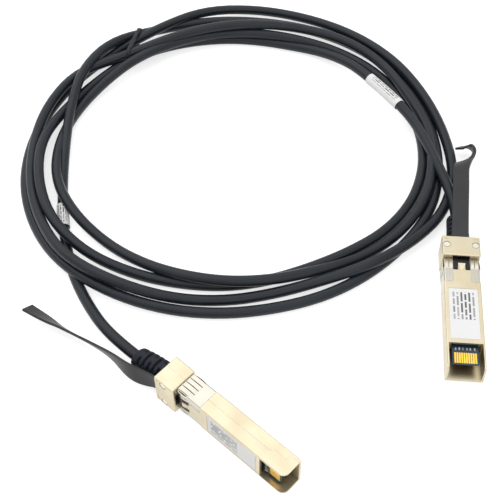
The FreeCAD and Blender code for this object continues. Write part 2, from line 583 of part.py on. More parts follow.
def cable_boot():
    """Strain relief moulded on the cable: flange in the nose, squared root, ribbed body, rounded end."""
    y0 = TOTAL_Y + SEAT_GAP
    y1 = TOTAL_Y + BOOT_L
    root_y = y0 + BOOT_ROOT_L
    taper_y = root_y - LAP
    root = bar(BOOT_W / 2, CABLE_Z - BOOT_H / 2, CABLE_Z + BOOT_H / 2, y0, root_y, BOOT_ROOT_R)
    root_rim = [e for e in root.Edges if min(v.Y for v in e.Vertexes) > (y0 + root_y) / 2]
    root = root.makeChamfer(BOOT_ROOT_BEVEL, root_rim)
    core = rod_y(BOOT_CORE_D / 2, y0, y1 - BOOT_END_R, 0, CABLE_Z)
    taper = Part.makeCone(BOOT_H / 2, BOOT_END_D / 2, y1 - taper_y, V(0, taper_y, CABLE_Z), V(0, 1, 0))
    end_rim = [e for e in taper.Edges if len(e.Vertexes) == 1 and e.Vertexes[0].Y > (taper_y + y1) / 2]
    taper = taper.makeFillet(BOOT_END_R, end_rim)
    far = 2 * BOOT_W
    for i in range(BOOT_GROOVES):
        y = y0 + BOOT_GROOVE_Y + i * BOOT_GROOVE_PITCH
        disc = rod_y(BOOT_W, y, y + BOOT_GROOVE_W, 0, CABLE_Z)
        if i % 2:
            bridges = box(-far, far, y, y + BOOT_GROOVE_W, CABLE_Z - BOOT_BRIDGE, CABLE_Z + BOOT_BRIDGE)
        else:
            bridges = box(-BOOT_BRIDGE, BOOT_BRIDGE, y, y + BOOT_GROOVE_W, CABLE_Z - far, CABLE_Z + far)
        taper = taper.cut(disc.cut(bridges))
    neck = box(-NECK_W / 2, NECK_W / 2, FLANGE_REAR_Y - LAP, y0 + LAP, CABLE_Z - NECK_H / 2,
               CABLE_Z + NECK_H / 2)
    flange = box(-FLANGE_W / 2, FLANGE_W / 2, FERRULE_REAR_Y + SEAT_GAP, FLANGE_REAR_Y - SEAT_GAP,
                 CABLE_Z - FLANGE_H / 2, CABLE_Z + FLANGE_H / 2)
    return joined([flange, neck, root, core, taper])


def plug_label():
    z0 = BODY_H - LABEL_RECESS + LABEL_LIFT
    return box(-LABEL_W / 2, LABEL_W / 2, LABEL_Y, LABEL_Y + LABEL_L, z0, z0 + LABEL_T)


def plug_pieces(tail, up, root_roll):
    """All pieces of one plug in its own frame, by name."""
    closed = plug_outside().cut(plug_hollow()).cut(rivet_holes())
    return {
        "latch_shell": latch_shell(closed),
        "back_shell": back_shell(closed),
        "shell_rivets": shell_rivets(),
        "emi_collar": emi_collar(),
        "release_slider": release_slider(),
        "return_spring": return_spring(),
        "pull_strap": pull_strap(tail, up, root_roll),
        "paddle_card": paddle_card(),
        "card_contacts": card_contacts(),
        "card_parts": card_parts(),
        "core_wires": core_wires(),
        "cable_ferrule": cable_ferrule(),
        "cable_boot": cable_boot(),
        "plug_label": plug_label(),
    }


def place_plug_a(shape):
    """Stand the plug on its narrow side and turn it on the bench."""
    shape.rotate(V(0, 0, 0), V(0, 1, 0), -90)
    shape.rotate(V(0, 0, 0), V(0, 0, 1), PLUG_A_TURN)
    shape.translate(V(PLUG_A_AT[0], PLUG_A_AT[1], NOSE_W / 2))
    return shape


def place_plug_b(shape):
    shape.translate(V(PLUG_B_AT[0], PLUG_B_AT[1], NOSE_PROUD))
    return shape


# ---- the free cable --------------------------------------------------------------------------------------

def cable_along(name, route):
    """Round cable on straight runs joined by tangent arcs."""
    points = [V(*p) for p in route]
    edges = []
    radii = []
    start = points[0]
    for before, corner, after in zip(points, points[1:], points[2:]):
        back = (before - corner).normalize()
        ahead = (after - corner).normalize()
        half_turn = (math.pi - back.getAngle(ahead)) / 2
        set_back = BEND_SHARE * min((before - corner).Length, (after - corner).Length)
        radius = set_back / math.tan(half_turn)
        inward = (back + ahead).normalize()
        centre = corner + inward * (radius / math.cos(half_turn))
        first = corner + back * set_back
        last = corner + ahead * set_back
        edges.append(Part.LineSegment(start, first).toShape())
        edges.append(Part.Arc(first, centre - inward * radius, last).toShape())
        radii.append(radius)
        start = last
    edges.append(Part.LineSegment(start, points[-1]).toShape())
    path = Part.Wire(edges)
    ring = Part.Wire([Part.makeCircle(CABLE_D / 2, points[0], points[1] - points[0])])
    tube = path.makePipeShell([ring], True, True)
    ratio = tube.Volume / (math.pi * CABLE_D ** 2 / 4 * path.Length)
    print(name, "length %.1f" % path.Length, "volume ratio %.4f" % ratio,
          "radii", " ".join("%.0f" % r for r in radii), "lowest %.2f" % tube.BoundBox.ZMin)
    return tube


def closed_curve(column):
    """Smooth closed curve through one edge of the coil's reach."""
    step = 2 * math.pi / len(COIL_REACH)
    centre = V(*COIL_C, 0)
    points = [centre + V(math.cos(i * step), math.sin(i * step), 0) * reach[column]
              for i, reach in enumerate(COIL_REACH)]
    curve = Part.BSplineCurve()
    curve.interpolate(Points=points, PeriodicFlag=True)
    return Part.Face(Part.Wire([curve.toShape()])).extrude(V(0, 0, COIL_H))


def cable_coil():
    """Outer shape of the loose coil: a flat ring, wider where its turns fan out."""
    ring = closed_curve(1).cut(closed_curve(0))
    rims = [e for e in ring.Edges if e.BoundBox.ZLength < 0.01]
    return ring.makeFillet(COIL_EDGE_R, rims)


def cable_tie():
    """Soft band closed round the coil's outer strands."""
    outer = V(*TIE_OUTER, 0)
    inner = V(*TIE_INNER, 0)
    span = (outer - inner).Length
    loop = bar(span / 2, 0, TIE_H, -TIE_W / 2, TIE_W / 2, TIE_CORNER_R)
    loop = loop.cut(bar(span / 2 - TIE_T, TIE_T, TIE_H - TIE_T, -TIE_W, TIE_W, TIE_CORNER_R - TIE_T))
    loop.rotate(V(0, 0, 0), V(0, 0, 1), math.degrees(math.atan2(outer.y - inner.y, outer.x - inner.x)))
    loop.translate((outer + inner) * 0.5)
    return loop


def wrap_label(length, at, heading):
    """Paper label wrapped round the cable."""
    along = V(*heading, 0).normalize()
    start = V(*at) - along * (length / 2)
    inner_r = CABLE_D / 2 + WRAP_LIFT
    sleeve = Part.makeCylinder(inner_r + WRAP_T, length, start, along)
    return sleeve.cut(Part.makeCylinder(inner_r, length + 2 * THROUGH, start - along * THROUGH, along))


def save(name, shape):
    solids = shape.Solids
    valid = shape.isValid()
    print("%-18s solids %2d valid %s volume %9.2f" % (name, len(solids), valid, shape.Volume))
    shape.exportStep("parts/%s.step" % name)


def main():
    os.makedirs("parts", exist_ok=True)
    box_all = FreeCAD.BoundBox()
    plugs = (("a", STRAP_A_TAIL, V(1, 0, 0), 90, place_plug_a),
             ("b", STRAP_B_TAIL, V(0, 0, 1), 0, place_plug_b))
    for letter, tail, up, root_roll, place in plugs:
        for name, shape in plug_pieces(tail, up, root_roll).items():
            placed = place(shape)
            box_all.add(placed.BoundBox)
            save("%s_%s" % (name, letter), placed)
    print("plugs and straps", box_all)
    save("cable_coil", cable_coil())
    save("cable_lead_a", cable_along("lead a", ROUTE_A))
    save("cable_lead_b", cable_along("lead b", ROUTE_B))
    save("cable_wrap_a", wrap_label(WRAP_A_L, WRAP_A_AT, WRAP_A_DIR))
    save("cable_wrap_b", wrap_label(WRAP_B_L, WRAP_B_AT, WRAP_B_DIR))
    save("cable_tie", cable_tie())


main()
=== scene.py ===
import math

import bmesh
import bpy
from mathutils import Matrix, Vector
from mathutils.geometry import convex_hull_2d


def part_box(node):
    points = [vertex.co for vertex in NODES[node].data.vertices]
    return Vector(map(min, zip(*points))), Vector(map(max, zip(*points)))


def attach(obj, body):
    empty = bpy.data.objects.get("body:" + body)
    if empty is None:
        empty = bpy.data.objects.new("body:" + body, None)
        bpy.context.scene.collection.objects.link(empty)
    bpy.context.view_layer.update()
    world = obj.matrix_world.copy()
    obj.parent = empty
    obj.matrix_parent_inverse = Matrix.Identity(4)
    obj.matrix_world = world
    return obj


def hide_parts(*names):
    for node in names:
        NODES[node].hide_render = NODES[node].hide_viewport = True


# A direct attach copper cable on a pale bench: two pull-strap plugs on the ends of one round cable that lies
# in a loose coil.  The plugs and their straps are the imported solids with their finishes.  The cable with its
# turns, the tie, the wrapped labels and the bent strain reliefs are made here.

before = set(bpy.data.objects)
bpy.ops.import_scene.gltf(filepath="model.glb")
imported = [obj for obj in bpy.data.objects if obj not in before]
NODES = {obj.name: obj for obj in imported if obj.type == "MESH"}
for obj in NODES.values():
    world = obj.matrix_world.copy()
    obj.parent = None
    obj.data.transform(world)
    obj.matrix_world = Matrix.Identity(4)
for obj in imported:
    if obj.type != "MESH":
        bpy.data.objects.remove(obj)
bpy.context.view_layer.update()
MM = 0.001

CABLE_D = 4.2 * MM
CABLE_R = CABLE_D / 2

# route of the cable from boot A onto the coil, in mm; the first points follow the bent boot
ROUTE_A = [(-39.24, -34.7, 6.7), (-44.2, -31.2, 6.9), (-52.9, -23.1, 5.3), (-60.1, -13.4, 3.0),
           (-66.2, -3.8, 2.2), (-70.4, 4.3, 2.2), (-73.6, 12.1, 2.2)]

# The coil's turns, clockwise as seen from above: reach from the coil's centre and height, every 15 degrees.
# A separate program that settled the strands on each other wrote these rows; they weren't chosen by hand.
COIL_CENTRE = (-12.2, 64.9)
COIL_START = -150
COIL_STEP = -15
COIL_TURNS = [
    [(76.3, 2.2), (72.4, 2.2), (72.2, 4.6), (76.2, 6.5), (83.4, 9.1), (89.2, 7.2),
     (89.3, 2.5), (88.6, 2.2), (87.1, 2.2), (86.9, 2.2), (86.7, 2.2), (85.6, 2.2),
     (83.5, 2.2), (82.2, 2.2), (81.3, 2.2), (80.4, 2.2), (77.9, 2.2), (76.3, 2.2),
     (75.7, 2.2), (75.3, 2.2), (76.7, 2.2), (79.0, 2.2), (82.9, 4.1), (86.6, 5.4)],
    [(87.3, 2.4), (88.0, 2.2), (87.6, 2.2), (86.9, 2.2), (86.5, 2.2), (86.7, 2.5),
     (87.0, 5.5), (93.6, 4.5), (95.7, 2.2), (93.7, 2.4), (89.9, 4.9), (87.9, 5.6),
     (85.8, 5.6), (85.8, 4.3), (87.3, 2.2), (85.6, 2.8), (80.4, 5.4), (75.2, 6.0),
     (69.4, 3.3), (68.7, 2.2), (71.0, 2.2), (74.8, 3.7), (80.2, 7.9), (85.1, 9.4)],
    [(84.8, 5.9), (85.1, 5.2), (85.4, 5.7), (86.5, 6.3), (86.4, 6.1), (78.2, 6.0),
     (75.1, 8.6), (74.5, 10.4), (76.2, 10.0), (81.6, 6.6), (84.3, 5.5), (82.7, 5.4),
     (78.8, 6.2), (79.6, 5.6), (78.5, 5.2), (77.0, 4.6), (73.0, 2.5), (68.5, 2.4),
     (65.3, 4.5), (64.7, 5.6), (64.9, 6.2), (65.1, 5.9), (65.2, 3.4), (67.1, 2.2)],
    [(71.5, 5.1), (74.9, 5.6), (75.1, 4.9), (75.4, 2.8), (74.4, 3.8), (72.8, 7.3),
     (73.8, 6.4), (74.7, 6.2), (74.4, 6.3), (75.8, 4.8), (79.1, 2.2), (79.2, 2.2),
     (78.2, 2.2), (77.1, 2.2), (74.9, 2.2), (72.1, 2.2), (68.1, 2.2), (63.7, 2.2),
     (61.7, 2.2), (62.4, 2.2), (64.3, 2.2), (66.5, 2.2), (70.5, 2.2), (76.7, 4.7)],
    [(80.9, 6.9), (81.7, 7.4), (81.9, 7.6), (79.6, 4.3), (78.2, 2.6), (78.0, 3.4),
     (77.5, 2.2), (75.7, 2.2), (74.3, 2.2)],
]

# route of the cable from the coil to boot B, in mm
ROUTE_B = [(12.1, 134.5, 2.5), (22.6, 129.0, 4.4), (32.6, 121.0, 6.3), (41.1, 111.0, 6.9),
           (49.6, 101.0, 6.9), (57.0, 90.5, 6.8), (62.0, 80.0, 6.7), (66.0, 69.2, 6.6), (69.1, 59.3, 6.5),
           (72.0, 51.0, 5.9), (73.9, 43.6, 4.7), (74.2, 37.7, 4.7)]

# wrapped labels: rough middle on the cable in mm, and length
LABEL_WRAPS = {"cable_label_a": ((-78.4, 29.7, 2.6), 11.0), "cable_label_b": ((47.2, 104.7, 6.9), 20.0)}
WRAP_LIFT = 0.12         # paper above the jacket
WRAP_LAP = 0.16          # step of the lapped end of the paper
WRAP_PRINT_SHARE = 0.8   # share of the wrap's length that is printed
WRAP_PRINT_HALF_W = 1.5
WRAP_RULE_PITCH = 0.95

# rules on the plug labels, in mm from the label's middle
PLUG_RULE_PITCH = 1.4
PLUG_PRINT_SPAN = (-2.6, 9.2)
PLUG_PRINT_HALF_W = 3.9

# tie round the strands that lie together, in mm
TIE_MIDDLE = (-65.4, 127.3)
TIE_ACROSS = (0.12, 0.99)    # across the strands
TIE_W = 1.7
TIE_T = 0.7
TIE_LIFT = 0.05          # band above the jackets
TIE_CATCH = 13.0         # strands within this distance of the middle are held
TIE_FLOOR_GAP = 0.02     # the band stays this far above the bench
TIE_EDGE_R = 0.2

# frames of the two plugs: origin in mm, then the directions of width, length and height
PLUG_A = ((19.6, -72.9, 7.0), Vector((0, 0, 1)), Vector((-0.7891, 0.6143, 0)), Vector((-0.6143, -0.7891, 0)))
PLUG_B = ((74.4, -32.2, 0.4), Vector((1, 0, 0)), Vector((0, 1, 0)), Vector((0, 0, 1)))

# ribbed strain relief in its plug's frame, in mm
BOOT_FRONT = 56.5
BOOT_REAR = 69.9
BOOT_AXIS_H = 4.3
BOOT_ROOT_L = 1.3        # squared root against the nose
BOOT_ROOT_HALF_W = 4.8
BOOT_HALF_W = (4.5, 3.85)    # ribbed stretch, at the root and at the cable
BOOT_HALF_H = (3.95, 3.75)
BOOT_RIM_R = 1.1         # rounding of the rim at the cable
BOOT_GROOVES = 5
BOOT_GROOVE_FRONT = 58.6
BOOT_GROOVE_PITCH = 2.1
BOOT_GROOVE_HALF = 0.42
BOOT_GROOVE_DEPTH = 0.95
BOOT_SIDES = 64
BOOT_STATION = 0.15
BOOT_RIM_STEPS = 6
BOOT_ROOT_BLEND = 0.3    # length over which the squared root gives way to the ribbed stretch
BOOT_ROUND_POWER = 2.2   # roundness of the ribbed stretch: 2 is an ellipse
BOOT_SQUARE_MORE = 3.0   # how much squarer the root is
BOOT_BRIDGE_AT = 0.965   # the bridges between the ribs start where this share of the way round is reached
BOOT_BRIDGE_BLEND = 0.05
BOOT_BENDS = {"a": (-0.3, 1.7), "b": (-0.2, 0.0)}    # how far each cable end is bent aside and up

# ---- camera, bench and light -----------------------------------------------------------------------------

CAMERA_TURN = 5.16
CAMERA_TILT = 37.8
CAMERA_ROLL = -0.67
CAMERA_AT = (17.1, -218.5, 309.0)    # in mm
CAMERA_LENS = 73.3
CAMERA_SENSOR = 36.0


def set_camera():
    camera = bpy.data.objects.new("camera", bpy.data.cameras.new("camera"))
    bpy.context.scene.collection.objects.link(camera)
    camera.data.sensor_width = CAMERA_SENSOR
    camera.data.lens = CAMERA_LENS
    camera.data.clip_start = 0.01
    camera.data.clip_end = 10
    turn = Matrix.Rotation(math.radians(CAMERA_TURN), 4, "Z")
    tilt = Matrix.Rotation(math.radians(CAMERA_TILT), 4, "X")
    roll = Matrix.Rotation(math.radians(CAMERA_ROLL), 4, "Z")
    camera.matrix_world = Matrix.Translation(Vector(CAMERA_AT) * MM) @ turn @ tilt @ roll
    bpy.context.scene.camera = camera


BENCH_HALF = 2.5
BENCH_GREY = 0.72        # what the bench gives back of the light
BENCH_GLOW = 0.66        # share of plain white that eyes and mirrors see on top of it


def bench():
    """Pale bench that reads as white and keeps the shadows that lie on it."""
    h = BENCH_HALF
    mesh = bpy.data.meshes.new("bench")
    mesh.from_pydata([(-h, -h, 0), (h, -h, 0), (h, h, 0), (-h, h, 0)], [], [(0, 1, 2, 3)])
    floor = bpy.data.objects.new("bench", mesh)
    bpy.context.scene.collection.objects.link(floor)
    mat = bpy.data.materials.new("bench_white")
    mat.use_nodes = True
    tree = mat.node_tree
    shader = tree.nodes["Principled BSDF"]
    shader.inputs["Base Color"].default_value = (BENCH_GREY, BENCH_GREY, BENCH_GREY, 1)
    shader.inputs["Roughness"].default_value = 0.8
    shader.inputs["Specular IOR Level"].default_value = 0.1
    seen = seen_directly(tree)
    glow = math_node(tree, "MULTIPLY", seen, BENCH_GLOW)
    shader.inputs["Emission Color"].default_value = (1, 1, 1, 1)
    tree.links.new(glow, shader.inputs["Emission Strength"])
    mesh.materials.append(mat)


def seen_directly(tree):
    """1 for eyes, mirrors and glass, 0 for the light that falls on things."""
    path = tree.nodes.new("ShaderNodeLightPath")
    seen = math_node(tree, "MAXIMUM", path.outputs["Is Camera Ray"], path.outputs["Is Glossy Ray"])
    return math_node(tree, "MAXIMUM", seen, path.outputs["Is Transmission Ray"])


WORLD_LIGHT = 0.62       # strength of the surroundings as they light things
# each lamp's place in metres, the side of its square and its power
LAMPS = {"key": ((-0.5, 0.42, 1.4), 2.0, 11.5), "fill": ((0.5, -0.9, 1.1), 1.2, 3.0)}


def light():
    """White surroundings and two large soft lamps, the stronger one from the upper left."""
    world = bpy.data.worlds.new("studio")
    world.use_nodes = True
    tree = world.node_tree
    seen = seen_directly(tree)
    strength = math_node(tree, "MULTIPLY_ADD", seen, 1 - WORLD_LIGHT, WORLD_LIGHT)
    tree.nodes["Background"].inputs["Color"].default_value = (1, 1, 1, 1)
    tree.links.new(strength, tree.nodes["Background"].inputs["Strength"])
    bpy.context.scene.world = world
    for name, (place, size, power) in LAMPS.items():
        soft_lamp(name, place, size, power)


def soft_lamp(name, place, size, power):
    data = bpy.data.lights.new(name, "AREA")
    data.shape = "SQUARE"
    data.size = size
    data.energy = power
    lamp = bpy.data.objects.new(name, data)
    lamp.location = place
    lamp.rotation_euler = (-Vector(place)).to_track_quat("-Z", "Y").to_euler()
    bpy.context.scene.collection.objects.link(lamp)


# ---- shader helpers --------------------------------------------------------------------------------------

def linear(value):
    """Linear value of an 8-bit screen value."""
    c = value / 255
    return c / 12.92 if c <= 0.04045 else ((c + 0.055) / 1.055) ** 2.4


def colour_of(screen):
    return tuple(linear(c) for c in screen) + (1.0,)


def put(tree, socket, value):
    """Links a socket to another, or writes a plain value into it."""
    if isinstance(value, bpy.types.NodeSocket):
        tree.links.new(value, socket)
    else:
        socket.default_value = value


def math_node(tree, operation, first, second=0.0, third=0.0, clamp=False):
    node = tree.nodes.new("ShaderNodeMath")
    node.operation = operation
    node.use_clamp = clamp
    for socket, value in zip(node.inputs, (first, second, third)):
        put(tree, socket, value)
    return node.outputs[0]


def mix_colour(tree, share, first, second, blend="MIX"):
    node = tree.nodes.new("ShaderNodeMix")
    node.data_type = "RGBA"
    node.blend_type = blend
    put(tree, node.inputs[0], share)
    put(tree, node.inputs[6], first)
    put(tree, node.inputs[7], second)
    return node.outputs[2]


def steps(tree, value, stops):
    """Grey ramp through (place, grey) stops."""
    node = tree.nodes.new("ShaderNodeValToRGB")
    ramp = node.color_ramp
    while len(ramp.elements) < len(stops):
        ramp.elements.new(1.0)
    for element, (place, grey) in zip(ramp.elements, stops):
        element.position = place
        element.color = (grey, grey, grey, 1)
    put(tree, node.inputs[0], value)
    return node.outputs[0]


def noise(tree, vector, scale, detail=2.0, roughness=0.5):
    node = tree.nodes.new("ShaderNodeTexNoise")
    put(tree, node.inputs["Vector"], vector)
    put(tree, node.inputs["Scale"], scale)
    node.inputs["Detail"].default_value = detail
    node.inputs["Roughness"].default_value = roughness
    return node.outputs["Fac"]


def made_group(name, inputs, outputs):
    """New shader group with float or vector sockets, given as (name, kind, default)."""
    tree = bpy.data.node_groups.new(name, "ShaderNodeTree")
    for label, kind, default in inputs:
        socket = tree.interface.new_socket(label, in_out="INPUT", socket_type=kind)
        if default is not None:
            socket.default_value = default
    for label, kind in outputs:
        tree.interface.new_socket(label, in_out="OUTPUT", socket_type=kind)
    return tree, tree.nodes.new("NodeGroupInput"), tree.nodes.new("NodeGroupOutput")


def placed_group(tree, group, **values):
    node = tree.nodes.new("ShaderNodeGroup")
    node.node_tree = group
    for label, value in values.items():
        put(tree, node.inputs[label.replace("_", " ")], value)
    return node


FLOAT = "NodeSocketFloat"
VECTOR = "NodeSocketVector"
EDGE_GAIN = 9.0          # how fast the edge mask rises as the surface turns


def grain_group():
    """Fine grain for bump and a slow patchiness for colour and roughness."""
    tree, given, out = made_group("fine_grain",
                                  [("Place", VECTOR, None), ("Grain per metre", FLOAT, 4000.0),
                                   ("Patches per metre", FLOAT, 60.0), ("Stretch", VECTOR, (1.0, 1.0, 1.0))],
                                  [("Height", FLOAT), ("Patches", FLOAT)])
    stretch = tree.nodes.new("ShaderNodeVectorMath")
    stretch.operation = "MULTIPLY"
    put(tree, stretch.inputs[0], given.outputs["Place"])
    put(tree, stretch.inputs[1], given.outputs["Stretch"])
    fine = noise(tree, stretch.outputs[0], given.outputs["Grain per metre"], 3.0, 0.6)
    slow = noise(tree, given.outputs["Place"], given.outputs["Patches per metre"], 4.0, 0.55)
    put(tree, out.inputs["Height"], fine)
    put(tree, out.inputs["Patches"], steps(tree, slow, [(0.3, 0.0), (0.7, 1.0)]))
    return tree


def edge_group():
    """Mask of the narrow strip along sharp edges, broken up by wear."""
    tree, given, out = made_group("edge_wear",
                                  [("Place", VECTOR, None), ("Width", FLOAT, 0.0003),
                                   ("Breaks per metre", FLOAT, 700.0)],
                                  [("Mask", FLOAT)])
    rounded = tree.nodes.new("ShaderNodeBevel")
    rounded.samples = 4
    put(tree, rounded.inputs["Radius"], given.outputs["Width"])
    flat = tree.nodes.new("ShaderNodeNewGeometry")
    dot = tree.nodes.new("ShaderNodeVectorMath")
    dot.operation = "DOT_PRODUCT"
    put(tree, dot.inputs[0], rounded.outputs[0])
    put(tree, dot.inputs[1], flat.outputs["Normal"])
    edge = math_node(tree, "SUBTRACT", 1.0, dot.outputs["Value"])
    edge = math_node(tree, "MULTIPLY", edge, EDGE_GAIN, clamp=True)
    breaks = steps(tree, noise(tree, given.outputs["Place"], given.outputs["Breaks per metre"], 3.0),
                   [(0.35, 0.25), (0.6, 1.0)])
    put(tree, out.inputs["Mask"], math_node(tree, "MULTIPLY", edge, breaks))
    return tree


def painted_shade_group():
    """Mask of the hollows between neighbouring faces, where painted shade darkens the colour."""
    tree, given, out = made_group("painted_corner_shade", [("Reach", FLOAT, 0.002)], [("Mask", FLOAT)])
    shade = tree.nodes.new("ShaderNodeAmbientOcclusion")
    shade.samples = 6
    put(tree, shade.inputs["Distance"], given.outputs["Reach"])
    put(tree, out.inputs["Mask"], steps(tree, shade.outputs["AO"], [(0.25, 1.0), (0.85, 0.0)]))
    return tree


def groups():
    return {"grain": grain_group(), "edge": edge_group(), "painted_shade": painted_shade_group()}


def new_finish(name):
    """New material: (material, tree, shader, object place)."""
    mat = bpy.data.materials.new(name)
    mat.use_nodes = True
    tree = mat.node_tree
    place = tree.nodes.new("ShaderNodeTexCoord").outputs["Object"]
    return mat, tree, tree.nodes["Principled BSDF"], place


def raise_surface(tree, shader, height, depth, strength=0.5):
    """Bump of the given depth in metres from a 0-1 height."""
    bump = tree.nodes.new("ShaderNodeBump")
    bump.inputs["Strength"].default_value = strength
    bump.inputs["Distance"].default_value = depth
    put(tree, bump.inputs["Height"], height)
    tree.links.new(bump.outputs["Normal"], shader.inputs["Normal"])


def grain_of(tree, place, fine=4000.0, patches=60.0, stretch=(1, 1, 1)):
    node = placed_group(tree, GROUPS["grain"], Place=place, Grain_per_metre=fine, Patches_per_metre=patches,
                        Stretch=stretch)
    return node.outputs["Height"], node.outputs["Patches"]


def edge_of(tree, place, width=0.0002, breaks=700.0):
    node = placed_group(tree, GROUPS["edge"], Place=place, Width=width, Breaks_per_metre=breaks)
    return node.outputs["Mask"]


def painted_shade_of(tree, reach):
    return placed_group(tree, GROUPS["painted_shade"], Reach=reach).outputs["Mask"]


METAL_PATCHES = 110.0    # tarnish patches per metre
PAINTED_SHADE_REACH = 0.0016    # reach of the painted corner shade, in metres
PAINTED_SHADE_STRENGTH = 0.55      # share of the painted corner shade, and how dark that shade is
RUBBED_SMOOTHER = 0.08   # rubbed edges are this much less rough
PATCHES_IN_ROUGHNESS = 0.6


def metal(name, screen, dull, edge, roughness=(0.26, 0.4), fine=5200.0, depth=0.006, stretch=(1, 1, 1),
          tarnish=0.5):
    """Plated or bare metal: fine grain, faint tarnish in patches, painted shade in the corners, bright rubbed
    edges.
    """
    mat, tree, shader, place = new_finish(name)
    height, patches = grain_of(tree, place, fine, METAL_PATCHES, stretch)
    base = mix_colour(tree, math_node(tree, "MULTIPLY", patches, tarnish), colour_of(screen), colour_of(dull))
    # painted shade: the corners and hollows are darkened toward a darker copy of the tarnish colour
    painted_shade = math_node(tree, "MULTIPLY", painted_shade_of(tree, PAINTED_SHADE_REACH), PAINTED_SHADE_STRENGTH)
    base = mix_colour(tree, painted_shade, base, colour_of([c * PAINTED_SHADE_STRENGTH for c in dull]))
    rubbed = edge_of(tree, place)
    base = mix_colour(tree, rubbed, base, colour_of(edge))
    tree.links.new(base, shader.inputs["Base Color"])
    shader.inputs["Metallic"].default_value = 1.0
    span = roughness[1] - roughness[0]
    rough = math_node(tree, "MULTIPLY_ADD", patches, span * PATCHES_IN_ROUGHNESS, roughness[0])
    rough = math_node(tree, "MULTIPLY_ADD", height, span * (1 - PATCHES_IN_ROUGHNESS), rough)
    rough = math_node(tree, "MULTIPLY_ADD", rubbed, -RUBBED_SMOOTHER, rough)
    tree.links.new(rough, shader.inputs["Roughness"])
    raise_surface(tree, shader, height, depth * MM)
    return mat


MOULDING_PATCHES = 90.0  # dust patches per metre
SPECKLE_SCALE = 0.8      # speckles to grains
SPECKLE_SHARE = 0.35
MOULDING_EDGE = 0.00015  # metres
MOULDING_EDGE_SHARE = 0.35


def moulding(name, screen, pale, roughness=(0.4, 0.55), fine=3000.0, depth=0.02, stretch=(1, 1, 1),
             gloss=0.3, dust=0.25):
    """Moulded or extruded plastic and rubber: grain, faint pale dust in patches, edges a little paler."""
    mat, tree, shader, place = new_finish(name)
    height, patches = grain_of(tree, place, fine, MOULDING_PATCHES, stretch)
    speckle = steps(tree, noise(tree, place, fine * SPECKLE_SCALE, 2.0), [(0.58, 0.0), (0.72, 1.0)])
    share = math_node(tree, "MULTIPLY", patches, dust)
    share = math_node(tree, "MULTIPLY_ADD", speckle, dust * SPECKLE_SHARE, share)
    base = mix_colour(tree, share, colour_of(screen), colour_of(pale))
    rubbed = math_node(tree, "MULTIPLY", edge_of(tree, place, MOULDING_EDGE), MOULDING_EDGE_SHARE)
    base = mix_colour(tree, rubbed, base, colour_of(pale))
    tree.links.new(base, shader.inputs["Base Color"])
    shader.inputs["Specular IOR Level"].default_value = gloss
    rough = math_node(tree, "MULTIPLY_ADD", patches, roughness[1] - roughness[0], roughness[0])
    tree.links.new(rough, shader.inputs["Roughness"])
    raise_surface(tree, shader, height, depth * MM)
    return mat


def label_frame(tree, place, middle, along, across):
    """Place on a label in mm: x along it, y across it, measured from its middle."""
    out = along.cross(across)
    turn = Matrix((along, across, out))
    node = tree.nodes.new("ShaderNodeMapping")
    node.inputs["Scale"].default_value = (1 / MM, 1 / MM, 1 / MM)
    node.inputs["Rotation"].default_value = turn.to_euler("XYZ")
    node.inputs["Location"].default_value = -(turn @ Vector(middle)) / MM
    put(tree, node.inputs["Vector"], place)
    return node.outputs[0]


PAPER_WHITES = ((246, 246, 246), (236, 236, 233))
INK = (38, 41, 54)
INK_COVER = 0.9
PALE_RULE = 0.45         # some rules are this much of a full one
RULE_GAP = 0.27          # gap beside a rule, as a share of the pitch
RULE_LENGTH = 3.4        # rule length, as a share of the pitch


def paper(name, middle, along, across, row_pitch, print_from, print_to, print_half):
    """White label stock with plain grey rules that stand for its print."""
    mat, tree, shader, place = new_finish(name)
    spot = label_frame(tree, place, middle, along, across)
    height, patches = grain_of(tree, place, 2600.0, 70.0)
    rules = tree.nodes.new("ShaderNodeTexBrick")
    rules.offset = 0.37
    rules.squash = 0.7
    rules.squash_frequency = 3
    put(tree, rules.inputs["Vector"], spot)
    rules.inputs["Color1"].default_value = (1, 1, 1, 1)
    rules.inputs["Color2"].default_value = (PALE_RULE, PALE_RULE, PALE_RULE, 1)
    rules.inputs["Mortar"].default_value = (0, 0, 0, 1)
    rules.inputs["Scale"].default_value = 1.0
    rules.inputs["Mortar Size"].default_value = row_pitch * RULE_GAP
    rules.inputs["Mortar Smooth"].default_value = 0.15
    rules.inputs["Brick Width"].default_value = row_pitch * RULE_LENGTH
    rules.inputs["Row Height"].default_value = row_pitch
    split = tree.nodes.new("ShaderNodeSeparateXYZ")
    tree.links.new(spot, split.inputs[0])
    inside = math_node(tree, "GREATER_THAN", split.outputs[0], print_from)
    inside = math_node(tree, "MULTIPLY", inside, math_node(tree, "LESS_THAN", split.outputs[0], print_to))
    upto = math_node(tree, "ABSOLUTE", split.outputs[1])
    inside = math_node(tree, "MULTIPLY", inside, math_node(tree, "LESS_THAN", upto, print_half))
    ink = math_node(tree, "MULTIPLY", rules.outputs["Color"], inside)
    ink = math_node(tree, "MULTIPLY", ink, INK_COVER)
    sheet = mix_colour(tree, math_node(tree, "MULTIPLY", patches, 0.5), colour_of(PAPER_WHITES[0]),
                       colour_of(PAPER_WHITES[1]))
    base = mix_colour(tree, ink, sheet, colour_of(INK))
    tree.links.new(base, shader.inputs["Base Color"])
    rough = math_node(tree, "MULTIPLY_ADD", patches, 0.12, 0.42)
    tree.links.new(rough, shader.inputs["Roughness"])
    shader.inputs["Specular IOR Level"].default_value = 0.3
    raise_surface(tree, shader, height, 0.008 * MM)
    return mat


